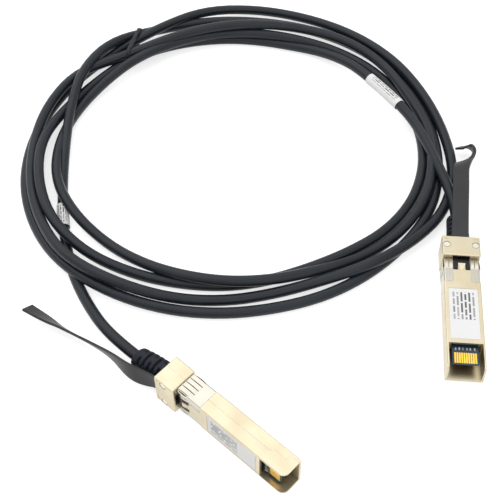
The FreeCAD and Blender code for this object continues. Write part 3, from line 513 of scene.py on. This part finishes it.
def solder_mask():
    """Card laminate under blue-green lacquer, with thin tracks that show through it."""
    mat, tree, shader, place = new_finish("card_lacquer")
    height, patches = grain_of(tree, place, 4200.0, 200.0)
    tracks = tree.nodes.new("ShaderNodeTexBrick")
    put(tree, tracks.inputs["Vector"], place)
    tracks.inputs["Color1"].default_value = (1, 1, 1, 1)
    tracks.inputs["Color2"].default_value = (0.6, 0.6, 0.6, 1)
    tracks.inputs["Mortar"].default_value = (0, 0, 0, 1)
    tracks.inputs["Scale"].default_value = 1 / MM
    tracks.inputs["Mortar Size"].default_value = 0.09
    tracks.inputs["Brick Width"].default_value = 1.9
    tracks.inputs["Row Height"].default_value = 0.55
    shown = math_node(tree, "MULTIPLY", tracks.outputs["Color"], 0.5)
    base = mix_colour(tree, shown, colour_of((18, 50, 72)), colour_of((34, 84, 106)))
    base = mix_colour(tree, math_node(tree, "MULTIPLY", patches, 0.3), base, colour_of((14, 38, 58)))
    tree.links.new(base, shader.inputs["Base Color"])
    rough = math_node(tree, "MULTIPLY_ADD", patches, 0.15, 0.25)
    tree.links.new(rough, shader.inputs["Roughness"])
    relief = math_node(tree, "MULTIPLY_ADD", height, 0.3, tracks.outputs["Color"])
    raise_surface(tree, shader, relief, 0.02 * MM)
    return mat


def chip_bodies():
    """Small parts on the card: pale ceramic, black mouldings and tinned ends by where they lie."""
    mat, tree, shader, place = new_finish("small_parts")
    height, patches = grain_of(tree, place, 3800.0, 900.0)
    kind = steps(tree, noise(tree, place, 700.0, 0.0), [(0.42, 0.0), (0.5, 1.0)])
    base = mix_colour(tree, kind, colour_of((206, 204, 196)), colour_of((150, 142, 124)))
    base = mix_colour(tree, math_node(tree, "MULTIPLY", patches, 0.3), base, colour_of((92, 92, 96)))
    tree.links.new(base, shader.inputs["Base Color"])
    rough = math_node(tree, "MULTIPLY_ADD", patches, 0.2, 0.3)
    tree.links.new(rough, shader.inputs["Roughness"])
    raise_surface(tree, shader, height, 0.01 * MM)
    return mat


def dress(finish, *stems):
    """Gives a finish to the named nodes."""
    for stem in stems:
        slots = NODES[stem].data.materials
        if not len(slots):
            slots.append(finish)
        for i in range(len(slots)):
            slots[i] = finish


def both(*stems):
    return [stem + "_" + letter for stem in stems for letter in "ab"]


# ---- cable, wrapped labels and tie -----------------------------------------------------------------------

def cable_points():
    points = list(ROUTE_A)
    angle = COIL_START
    for turn in COIL_TURNS:
        for reach, height in turn:
            points.append((COIL_CENTRE[0] + reach * math.cos(math.radians(angle)),
                           COIL_CENTRE[1] + reach * math.sin(math.radians(angle)), height))
            angle += COIL_STEP
    return points + ROUTE_B


def cable(finish):
    points = cable_points()
    curve = bpy.data.curves.new("cable", "CURVE")
    curve.dimensions = "3D"
    curve.bevel_depth = CABLE_R
    curve.bevel_resolution = 5
    curve.resolution_u = 5
    spline = curve.splines.new("NURBS")
    spline.points.add(len(points) - 1)
    for target, p in zip(spline.points, points):
        target.co = (p[0] * MM, p[1] * MM, p[2] * MM, 1)
    spline.order_u = 3
    spline.use_endpoint_u = True
    obj = bpy.data.objects.new("cable", curve)
    bpy.context.scene.collection.objects.link(obj)
    curve.materials.append(finish)
    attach(obj, "root")
    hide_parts("cable_coil", "cable_lead_a", "cable_lead_b")
    return obj


LINE_STEPS = 12          # points read from the cable's line between two of its control points


def line_of(curve_obj):
    """Middle line of the cable as a list of points."""
    bare = curve_obj.data.copy()
    bare.bevel_depth = 0
    bare.resolution_u = LINE_STEPS
    holder = bpy.data.objects.new("line", bare)
    mesh = bpy.data.meshes.new_from_object(holder)
    points = [v.co.copy() for v in mesh.vertices]
    bpy.data.objects.remove(holder)
    bpy.data.meshes.remove(mesh)
    bpy.data.curves.remove(bare)
    return points


def stretch_of(line, middle, length):
    """Part of the line of the given length round the point nearest to middle, in even steps."""
    nearest = min(range(len(line)), key=lambda i: (line[i] - middle).length)
    before = trimmed(line[nearest::-1], length / 2)
    after = trimmed(line[nearest:], length / 2)
    return before[:0:-1] + after


def trimmed(points, length):
    kept = [points[0]]
    gone = 0.0
    for a, b in zip(points, points[1:]):
        step = (b - a).length
        if gone + step >= length:
            kept.append(a.lerp(b, (length - gone) / step))
            return kept
        gone += step
        kept.append(b)
    return kept


WRAP_SIDES = 40
WRAP_OVERLAP = 50        # degrees that the paper laps over itself
WRAP_T = 0.1             # paper, in mm


def wrap_label(name, node, path, finish):
    """Paper wrapped once round the cable along a stretch of its line and lapped onto itself."""
    around = 360 + WRAP_OVERLAP
    section = []
    for side, lift in ((1, WRAP_LIFT + WRAP_T), (-1, WRAP_LIFT)):
        row = []
        for i in range(WRAP_SIDES + 1):
            turn = i / WRAP_SIDES
            row.append((math.radians(around * turn), CABLE_R + (lift + WRAP_LAP * turn) * MM))
        section += row if side > 0 else row[::-1]
    verts = []
    for i, p in enumerate(path):
        ahead = (path[min(i + 1, len(path) - 1)] - path[max(i - 1, 0)]).normalized()
        level = ahead.cross(Vector((0, 0, 1))).normalized()
        up = level.cross(ahead)
        for angle, reach in section:
            verts.append(p + (level * math.cos(angle) - up * math.sin(angle)) * reach)
    count = len(section)
    faces = []
    for i in range(len(path) - 1):
        for j in range(count):
            a = i * count + j
            b = i * count + (j + 1) % count
            faces.append((a, b, b + count, a + count))
    last = (len(path) - 1) * count
    for j in range(WRAP_SIDES):
        k = count - 1 - j
        faces.append((k, k - 1, j + 1, j))
        faces.append((last + j, last + j + 1, last + k - 1, last + k))
    obj = solid_piece(name, verts, faces, finish)
    for face in obj.data.polygons:
        face.use_smooth = True
    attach(obj, "root")
    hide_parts(node)
    return obj


def solid_piece(name, verts, faces, finish):
    mesh = bpy.data.meshes.new(name)
    mesh.from_pydata([tuple(v) for v in verts], [], faces)
    work = bmesh.new()
    work.from_mesh(mesh)
    bmesh.ops.recalc_face_normals(work, faces=work.faces)
    work.to_mesh(mesh)
    work.free()
    mesh.materials.append(finish)
    obj = bpy.data.objects.new(name, mesh)
    bpy.context.scene.collection.objects.link(obj)
    return obj


HULL_SIDES = 24


def tie(line, finish):
    """Soft band drawn tight round the strands that lie together."""
    middle = Vector((TIE_MIDDLE[0], TIE_MIDDLE[1], 0)) * MM
    across = Vector((TIE_ACROSS[0], TIE_ACROSS[1], 0)).normalized()
    along = Vector((across.y, -across.x, 0))
    held = []
    for a, b in zip(line, line[1:]):
        da = (a - middle).dot(along)
        db = (b - middle).dot(along)
        if da * db <= 0 and da != db:
            p = a.lerp(b, da / (da - db))
            if abs((p - middle).dot(across)) < TIE_CATCH * MM:
                held.append(((p - middle).dot(across), p.z))
    rims = []
    for reach in (CABLE_R + TIE_LIFT * MM, CABLE_R + (TIE_LIFT + TIE_T) * MM):
        rims.append([(s + reach * math.cos(t), z + reach * math.sin(t)) for s, z in held
                     for t in [2 * math.pi * k / HULL_SIDES for k in range(HULL_SIDES)]])
    order = convex_hull_2d(rims[1])
    floor_gap = TIE_FLOOR_GAP * MM
    verts = []
    for i in order:
        for rim, low in zip(rims, (2 * floor_gap, floor_gap)):
            for side in (-0.5, 0.5):
                s, z = rim[i]
                verts.append(middle + across * s + along * (side * TIE_W * MM) + Vector((0, 0, max(z, low))))
    faces = []
    count = len(order)
    for i in range(count):
        a = 4 * i
        b = 4 * ((i + 1) % count)
        faces += [(a, a + 1, b + 1, b), (a + 2, b + 2, b + 3, a + 3), (a, b, b + 2, a + 2),
                  (a + 1, a + 3, b + 3, b + 1)]
    obj = solid_piece("cable_tie_band", verts, faces, finish)
    bevel = obj.modifiers.new("soft_edges", "BEVEL")
    bevel.width = TIE_EDGE_R * MM
    bevel.segments = 2
    bevel.limit_method = "ANGLE"
    bevel.angle_limit = math.radians(50)
    for face in obj.data.polygons:
        face.use_smooth = True
    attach(obj, "root")
    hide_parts("cable_tie")
    return obj


def boot_section(y, angle):
    """Reach of the boot's surface from its axis at one station, without the grooves: across and up."""
    t = (y - BOOT_FRONT) / (BOOT_REAR - BOOT_FRONT)
    root = min(max((BOOT_FRONT + BOOT_ROOT_L - y) / BOOT_ROOT_BLEND, 0.0), 1.0)
    half_w = BOOT_HALF_W[0] + (BOOT_HALF_W[1] - BOOT_HALF_W[0]) * t
    half_h = BOOT_HALF_H[0] + (BOOT_HALF_H[1] - BOOT_HALF_H[0]) * t
    half_w += (BOOT_ROOT_HALF_W - half_w) * root
    power = 2 / (BOOT_ROUND_POWER + BOOT_SQUARE_MORE * root)
    across = math.copysign(abs(math.cos(angle)) ** power, math.cos(angle)) * half_w
    up = math.copysign(abs(math.sin(angle)) ** power, math.sin(angle)) * half_h
    return across, up


def groove_depth(y, angle):
    """Depth of the boot's grooves, whose bridges lie by turns above and below, and at the sides."""
    depth = 0.0
    for i in range(BOOT_GROOVES):
        away = abs(y - BOOT_GROOVE_FRONT - i * BOOT_GROOVE_PITCH)
        bridge = abs(math.sin(angle)) if i % 2 else abs(math.cos(angle))
        open_here = min(max((BOOT_BRIDGE_AT - bridge) / BOOT_BRIDGE_BLEND, 0.0), 1.0)
        depth = max(depth, BOOT_GROOVE_DEPTH * open_here * math.exp(-(away / BOOT_GROOVE_HALF) ** 4))
    return depth


def boot(letter, plug, bend, finish):
    """Ribbed strain relief, bent a little to where its cable goes."""
    origin, wide, long, high = plug
    stations = []
    y = BOOT_FRONT
    while y < BOOT_REAR - BOOT_RIM_R:
        stations.append((y, 0.0))
        y += BOOT_STATION
    for k in range(BOOT_RIM_STEPS + 1):
        turn = math.pi / 2 * k / BOOT_RIM_STEPS
        stations.append((BOOT_REAR - BOOT_RIM_R * (1 - math.sin(turn)), BOOT_RIM_R * (1 - math.cos(turn))))
    verts = []
    for y, shrink in stations:
        t = (y - BOOT_FRONT) / (BOOT_REAR - BOOT_FRONT)
        for k in range(BOOT_SIDES):
            angle = 2 * math.pi * k / BOOT_SIDES
            across, up = boot_section(y, angle)
            reach = math.hypot(across, up)
            share = (reach - shrink - groove_depth(y, angle)) / reach
            spot = wide * (across * share + bend[0] * t * t) + long * y
            spot += high * (BOOT_AXIS_H + up * share + bend[1] * t * t)
            verts.append((Vector(origin) + spot) * MM)
    faces = []
    for i in range(len(stations) - 1):
        for k in range(BOOT_SIDES):
            a = i * BOOT_SIDES + k
            b = i * BOOT_SIDES + (k + 1) % BOOT_SIDES
            faces.append((a, b, b + BOOT_SIDES, a + BOOT_SIDES))
    last = (len(stations) - 1) * BOOT_SIDES
    faces.append(tuple(range(BOOT_SIDES)))
    faces.append(tuple(range(last, last + BOOT_SIDES)))
    obj = solid_piece("strain_relief_" + letter, verts, faces, finish)
    for face in obj.data.polygons:
        face.use_smooth = len(face.vertices) == 4
    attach(obj, "root")
    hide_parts("cable_boot_" + letter)


def direction(path):
    return (path[-1] - path[0]).normalized()


def level_across(along):
    return Vector((0, 0, 1)).cross(along).normalized()


# ---- the whole -------------------------------------------------------------------------------------------

def lay_cable():
    """The cable with its wrapped labels and its tie, declared as one cord."""
    jacket = moulding("cable_jacket_pvc", (23, 28, 34), (60, 67, 77), (0.3, 0.44), 1900.0, 0.03, dust=0.2)
    cord = cable(jacket)
    line = line_of(cord)
    for name, (middle, length) in LABEL_WRAPS.items():
        stretch = stretch_of(line, Vector(middle) * MM, length * MM)
        heading = direction(stretch)
        printed = length * WRAP_PRINT_SHARE / 2
        stock = paper("wrap_paper_" + name[-1], stretch[len(stretch) // 2], heading, level_across(heading),
                      WRAP_RULE_PITCH, -printed, printed, WRAP_PRINT_HALF_W)
        wrap_label(name, "cable_wrap_" + name[-1], stretch, stock)
    tie(line, moulding("tie_nylon", (20, 22, 25), (48, 50, 54), (0.35, 0.5), 2600.0))


def dress_metals():
    shell = metal("nickel_plate", (208, 198, 172), (188, 175, 145), (228, 221, 203), (0.28, 0.42))
    dress(shell, *both("latch_shell", "back_shell"))
    rivets = metal("rivet_heads", (226, 222, 210), (205, 198, 182), (240, 238, 230), (0.2, 0.3))
    dress(rivets, *both("shell_rivets"))
    collar = metal("spring_steel", (200, 196, 184), (170, 168, 158), (232, 230, 222), (0.18, 0.3),
                   2400.0, 0.004, (1.0, 1.0, 0.15))
    dress(collar, *both("emi_collar"))
    spring = metal("spring_wire", (190, 190, 190), (150, 150, 150), (220, 220, 220), (0.25, 0.35))
    dress(spring, *both("return_spring"))
    ferrule = metal("crimp_brass", (200, 180, 130), (160, 138, 92), (224, 208, 160), (0.3, 0.42))
    dress(ferrule, *both("cable_ferrule"))
    gold = metal("contact_gold", (255, 206, 72), (236, 164, 40), (255, 226, 120), (0.2, 0.3), 6000.0, 0.002)
    dress(gold, *both("card_contacts"))


def dress_plastics():
    slider = moulding("slider_black", (16, 16, 18), (46, 46, 50), (0.3, 0.42), 3600.0, 0.012, gloss=0.35)
    dress(slider, *both("release_slider"))
    film = moulding("strap_film", (46, 46, 48), (78, 78, 82), (0.36, 0.5), 2200.0, stretch=(1.0, 1.0, 0.3))
    dress(film, *both("pull_strap"))
    rubber = moulding("boot_rubber", (20, 24, 31), (52, 58, 70), (0.46, 0.6), 2800.0, 0.03, gloss=0.25)
    boot("a", PLUG_A, BOOT_BENDS["a"], rubber)
    boot("b", PLUG_B, BOOT_BENDS["b"], rubber)
    sleeve = moulding("wire_sleeve", (196, 200, 206), (226, 228, 232), (0.35, 0.5), 1800.0, 0.01)
    dress(sleeve, *both("core_wires"))


def dress_cards():
    dress(solder_mask(), *both("paddle_card"))
    dress(chip_bodies(), *both("card_parts"))


def dress_plug_labels():
    for letter, plug in (("a", PLUG_A), ("b", PLUG_B)):
        low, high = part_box("plug_label_" + letter)
        middle = (Vector(low) + Vector(high)) / 2
        stock = paper("label_paper_" + letter, middle, plug[2], plug[1], PLUG_RULE_PITCH, *PLUG_PRINT_SPAN,
                      PLUG_PRINT_HALF_W)
        dress(stock, "plug_label_" + letter)


bpy.context.scene.view_settings.view_transform = "Standard"
set_camera()
GROUPS = groups()
lay_cable()
dress_metals()
dress_plastics()
dress_cards()
dress_plug_labels()
bench()
light()
